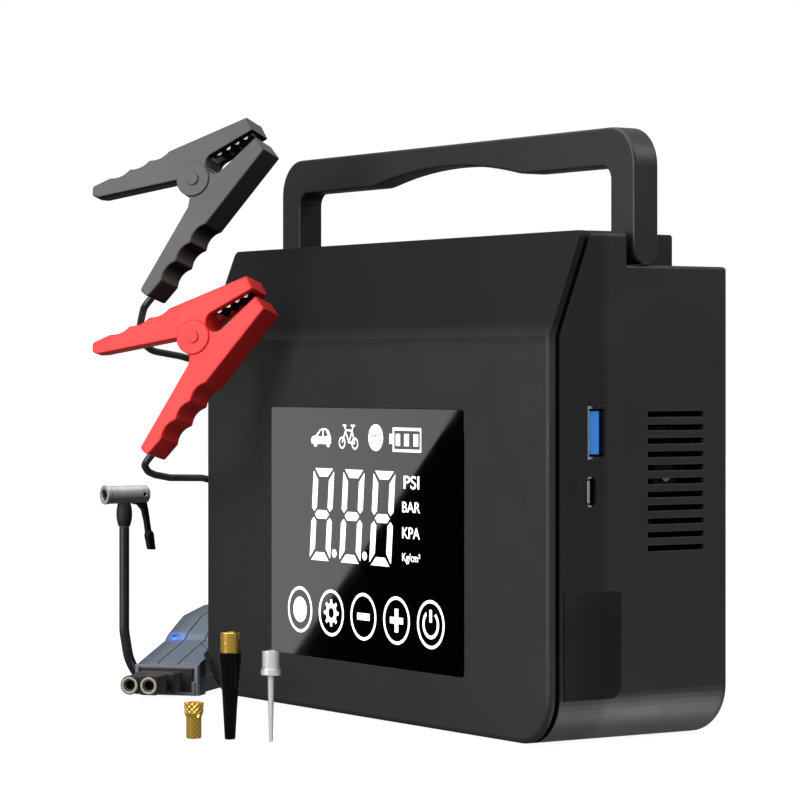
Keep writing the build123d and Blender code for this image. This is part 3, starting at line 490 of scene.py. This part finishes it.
def stroke(x0, z0, x1, z1, w):
    """Straight bar of width w between two points."""
    dx, dz = x1 - x0, z1 - z0
    length = math.hypot(dx, dz)
    nx, nz = -dz / length * w / 2, dx / length * w / 2
    return [(x0 + nx, z0 + nz), (x0 - nx, z0 - nz), (x1 - nx, z1 - nz), (x1 + nx, z1 + nz)]


def rect(x0, x1, z0, z1):
    return [(x0, z0), (x1, z0), (x1, z1), (x0, z1)]


def digit(left, base, width=13.7, height=32.6, bar=3.4, lean=2.9):
    """The seven bars of one leaning figure eight, parted by slanted gaps."""
    mid = height / 2
    top = [(0.8, height), (width - 0.8, height), (width - bar - 0.7, height - 3.1), (bar + 0.7, height - 3.1)]
    foot = [(0.8, 0), (bar + 0.7, 3.1), (width - bar - 0.7, 3.1), (width - 0.8, 0)]
    middle = [(2.1, mid), (3.9, mid + 1.6), (width - 3.9, mid + 1.6), (width - 2.1, mid),
              (width - 3.9, mid - 1.6), (3.9, mid - 1.6)]
    upper = [(0, height - 1.2), (0, mid + 2.3), (1.7, mid + 0.9), (bar, mid + 2.4), (bar, height - 4.3),
             (0.35, height - 1.0)]
    lower = [(x, height - z) for x, z in upper]
    bars = [top, foot, middle, upper, lower]
    bars += [[(width - x, z) for x, z in side] for side in (upper, lower)]
    return [[(left + x + lean * (z / height), base + z) for x, z in outline] for outline in bars]


def screen_digits():
    loops = []
    for left, base in ((-35.1, 53.1), (-15.6, 53.1), (3.6, 53.1)):
        loops += digit(left, base)
    for i, loop in enumerate(loops):
        flat_piece(f"digit_bar_{i:02d}", [loop])
    for i, (x, z) in enumerate(((-18.7, 56.1), (0.8, 56.1))):
        flat_piece(f"decimal_point_{i}", [ring(x, z, 1.6, 24)])


def screen_buttons():
    z = BUTTON_Z
    places = [BUTTON_STEP * i for i in range(-2, 3)]
    for i, x in enumerate(places):
        flat_piece(f"button_ring_{i}", [ring(x, z, 8.25, 64), ring(x, z, 7.0, 64)])
    flat_piece("button_disc", [ring(places[0], z, 4.6, 48)])
    cog = []
    for i in range(8):
        for turn, r in ((-13, 3.6), (-8, 4.9), (8, 4.9), (13, 3.6)):
            a = math.radians(45 * i + 90 + turn)
            cog.append((places[1] + r * math.cos(a), z + r * math.sin(a)))
    flat_piece("button_cog", [cog, ring(places[1], z, 1.7, 32)])
    flat_piece("button_minus", [rect(places[2] - 4.0, places[2] + 4.0, z - 1.3, z + 1.3)])
    far, near = 4.1, 1.2
    plus = [(-far, -near), (-near, -near), (-near, -far), (near, -far), (near, -near), (far, -near),
            (far, near), (near, near), (near, far), (-near, far), (-near, near), (-far, near)]
    flat_piece("button_plus", [[(places[3] + x, z + y) for x, y in plus]])
    outer = ring(places[4], z, 5.0, 33, 122, 297)
    inner = ring(places[4], z, 3.6, 33, 418, -297)
    flat_piece("button_power_arc", [outer + inner])
    flat_piece("button_power_bar", [rect(places[4] - 0.85, places[4] + 0.85, z + 0.6, z + 5.0)])


def screen_icons():
    x, z = -34.1, 93.0
    car = [(0.3, 1.2), (0, 2.6), (0.9, 3.7), (3.4, 4.3), (5.6, 6.0), (7.4, 6.7), (9.8, 6.7), (11.6, 6.1),
           (12.7, 4.6), (13.4, 3.2), (13.4, 1.4), (12.6, 1.1), (12.4, 0.3), (11.6, -0.1), (10.6, 0.1),
           (10.1, 1.0), (4.4, 1.0), (4.0, 0.2), (3.1, -0.1), (2.1, 0.2), (1.7, 1.1)]
    panes = [[(4.7, 3.9), (6.4, 5.7), (7.6, 6.0), (7.6, 3.9)],
             [(8.4, 3.9), (8.4, 6.0), (9.9, 5.8), (11.2, 4.0)]]
    flat_piece("icon_car", [[(x + a, z + b) for a, b in loop] for loop in [car] + panes])
    x, z = -15.8, 92.6
    wheels = [(2.2, 2.2), (10.4, 2.0)]
    for i, (a, b) in enumerate(wheels):
        flat_piece(f"icon_cycle_wheel_{i}", [ring(x + a, z + b, 2.2, 28), ring(x + a, z + b, 1.4, 28)])
    tubes = [(2.2, 2.2, 4.6, 6.6), (4.6, 6.6, 8.6, 6.4), (8.6, 6.4, 10.4, 2.0), (4.3, 6.2, 6.6, 2.4),
             (6.6, 2.4, 8.8, 6.6), (4.6, 6.6, 3.6, 8.3), (8.6, 6.4, 9.4, 8.3), (2.6, 8.2, 5.0, 8.2),
             (7.8, 8.2, 10.6, 8.2), (6.0, 2.4, 10.4, 2.0)]
    for i, (a, b, c, d) in enumerate(tubes):
        flat_piece(f"icon_cycle_tube_{i}", [stroke(x + a, z + b, x + c, z + d, 0.8)], lift=0.000001 * (i + 1))
    x, z = 7.8, 96.9
    flat_piece("icon_ball", [ring(x, z, 4.7, 48)])
    seams = [(-4.4, 1.3, 0.0, 0.4), (0.0, 0.4, 4.4, 1.4), (0.0, 0.4, -1.2, -4.4), (-2.6, 3.6, 0.0, 0.4),
             (2.6, 3.6, 0.0, 0.4), (-4.0, -2.2, -0.8, -1.6), (3.9, -2.4, 0.6, -1.2)]
    for i, (a, b, c, d) in enumerate(seams):
        flat_piece(f"icon_ball_seam_{i}", [stroke(x + a, z + b, x + c, z + d, 0.5)], DARK, 0.00004)
    flat_piece("icon_battery_case", [rect(18.3, 35.8, 92.2, 100.6), rect(19.4, 34.9, 93.3, 99.4)])
    flat_piece("icon_battery_nub", [rect(16.3, 18.4, 94.8, 98.4)])
    for i, (a, b) in enumerate(((20.2, 23.0), (25.3, 28.4), (31.0, 34.0))):
        flat_piece(f"icon_battery_bar_{i}", [rect(a, b, 94.2, 98.5)])


def unit_label(name, text, x0, x1, z0, z1):
    """Plain unit name fitted to the width and height it fills."""
    curve = bpy.data.curves.new(name, "FONT")
    curve.body = text
    curve.offset = 0.012
    obj = bpy.data.objects.new(name, curve)
    bpy.context.scene.collection.objects.link(obj)
    bpy.context.view_layer.update()
    corners = [Vector(c) for c in obj.bound_box]
    low_x, high_x = min(c.x for c in corners), max(c.x for c in corners)
    low_y, high_y = min(c.y for c in corners), max(c.y for c in corners)
    sx, sy = (x1 - x0) * MM / (high_x - low_x), (z1 - z0) * MM / (high_y - low_y)
    obj.scale = (sx, sy, 1)
    obj.rotation_euler = (math.pi / 2, 0, 0)
    obj.location = (x0 * MM - low_x * sx, FRONT - SKIN, z0 * MM - low_y * sy)
    curve.materials.append(WHITE)
    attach(obj, "unit")


screen_digits()
screen_buttons()
screen_icons()
unit_label("unit_psi", "PSI", 25.1, 34.5, 79.9, 84.4)
unit_label("unit_bar", "BAR", 24.2, 35.1, 72.0, 75.6)
unit_label("unit_kpa", "KPA", 24.2, 34.9, 63.2, 67.0)
unit_label("unit_kg_cm2", "Kg/cm²", 24.2, 35.2, 54.6, 58.3)


# ---------------------------------------------------------------- studio

def stage_plane(name, corners, material):
    mesh = bpy.data.meshes.new(name)
    mesh.from_pydata(corners, [], [list(range(len(corners)))])
    obj = bpy.data.objects.new(name, mesh)
    bpy.context.scene.collection.objects.link(obj)
    mesh.materials.append(material)
    return obj


def floor_material():
    """Pale floor that meets the white background and that reflections do not see."""
    net = Net("studio_floor")
    net.vary(net.remap(net.noise(3.0), 0, 1), (0.3, 0.3, 0.3), 0.02)
    net.shader.inputs["Emission Color"].default_value = (1, 1, 1, 1)
    net.set(rough=0.9, spec=0.0)
    path = net.add("ShaderNodeLightPath")
    glow = net.remap(path.outputs["Is Camera Ray"], 0.0, 0.93, 0, 1)
    net.link(glow, net.shader.inputs["Emission Strength"])
    through = net.add("ShaderNodeBsdfTransparent")
    mix = net.add("ShaderNodeMixShader")
    out = next(n for n in net.tree.nodes if n.type == "OUTPUT_MATERIAL")
    net.link(path.outputs["Is Glossy Ray"], mix.inputs[0])
    net.link(net.shader.outputs[0], mix.inputs[1])
    net.link(through.outputs[0], mix.inputs[2])
    net.link(mix.outputs[0], out.inputs["Surface"])
    return net.material


def card_material(name, strength):
    """Black card that gives off light of its own, or none at strength 0."""
    net = Net(name)
    net.vary(net.remap(net.noise(2.0), 0, 1), (0, 0, 0), 0.0)
    net.shader.inputs["Emission Color"].default_value = (1, 1, 1, 1)
    net.set(rough=1.0, spec=0.0, emit=strength)
    return net.material


def mirror_cards():
    """Cards seen only in reflections: two make the sheen of the screen, one lights the metal from above."""
    far = -1.5
    low, high, left, right = -0.33, 0.15, -2.75, -1.85
    edge_low, edge_high = -2.55, -1.99
    light = [(left, low), (edge_low, low), (edge_high, high), (left, high)]
    dark = [(edge_low, low), (right, low), (right, high), (edge_high, high)]
    roof = 1.3
    top = [(-1.2, -1.4, roof), (1.2, -1.4, roof), (1.2, 0.4, roof), (-1.2, 0.4, roof)]
    cards = (("studio_card_light", [(x, far, z) for x, z in light], 1.6),
             ("studio_card_dark", [(x, far, z) for x, z in dark], 0.0),
             ("studio_card_top", top, 2.6))
    for name, corners, strength in cards:
        card = stage_plane(name, corners, card_material(name, strength))
        card.visible_camera = False
        card.visible_diffuse = False
        card.visible_shadow = False


def pale_world():
    """White to the camera; to the object, soft light that grows towards the zenith."""
    world = bpy.data.worlds.new("studio")
    bpy.context.scene.world = world
    world.use_nodes = True
    tree = world.node_tree
    tree.nodes.clear()
    out = tree.nodes.new("ShaderNodeOutputWorld")
    mix = tree.nodes.new("ShaderNodeMixShader")
    seen, light = tree.nodes.new("ShaderNodeBackground"), tree.nodes.new("ShaderNodeBackground")
    seen.inputs["Color"].default_value = (1, 1, 1, 1)
    seen.inputs["Strength"].default_value = 1.0
    path = tree.nodes.new("ShaderNodeLightPath")
    tree.links.new(path.outputs["Is Camera Ray"], mix.inputs["Fac"])
    tree.links.new(light.outputs[0], mix.inputs[1])
    tree.links.new(seen.outputs[0], mix.inputs[2])
    tree.links.new(mix.outputs[0], out.inputs["Surface"])
    where = tree.nodes.new("ShaderNodeTexCoord")
    split = tree.nodes.new("ShaderNodeSeparateXYZ")
    tree.links.new(where.outputs["Generated"], split.inputs[0])
    fall = tree.nodes.new("ShaderNodeMapRange")
    for key, number in (("From Min", -0.2), ("From Max", 0.9), ("To Min", 0.16), ("To Max", 0.75)):
        fall.inputs[key].default_value = number
    tree.links.new(split.outputs["Z"], fall.inputs["Value"])
    tree.links.new(fall.outputs["Result"], light.inputs["Strength"])


def soft_light(name, place, target, size, power):
    data = bpy.data.lights.new(name, "AREA")
    data.energy = power
    data.shape = "RECTANGLE"
    data.size, data.size_y = size
    obj = bpy.data.objects.new(name, data)
    bpy.context.scene.collection.objects.link(obj)
    obj.location = place
    obj.rotation_euler = (Vector(target) - Vector(place)).to_track_quat("-Z", "Y").to_euler()
    return obj


def camera():
    data = bpy.data.cameras.new("camera")
    data.sensor_width = CAMERA_SENSOR
    data.lens = CAMERA_LENS
    data.shift_y = CAMERA_SHIFT
    data.clip_end = 20
    obj = bpy.data.objects.new("camera", data)
    bpy.context.scene.collection.objects.link(obj)
    obj.location = CAMERA_PLACE
    obj.rotation_euler = (math.pi / 2, 0, math.radians(CAMERA_TURN))
    bpy.context.scene.camera = obj


stage = [(-3, -3, 0), (3, -3, 0), (3, 3, 0), (-3, 3, 0)]
stage_plane("studio_floor", stage, floor_material()).visible_shadow = False
mirror_cards()
pale_world()
soft_light("key", place=(0.1, -1.7, 0.55), target=(0, 0, 0.1), size=(1.0, 1.0), power=27)
soft_light("rim", place=(1.2, 1.0, 1.3), target=(0, 0, 0.12), size=(0.8, 0.8), power=12)
soft_light("bounce", place=(0.9, 0.7, -0.75), target=(0.1, 0, 0.02), size=(0.8, 0.8), power=6)
camera()
bpy.context.scene.view_settings.view_transform = "Standard"
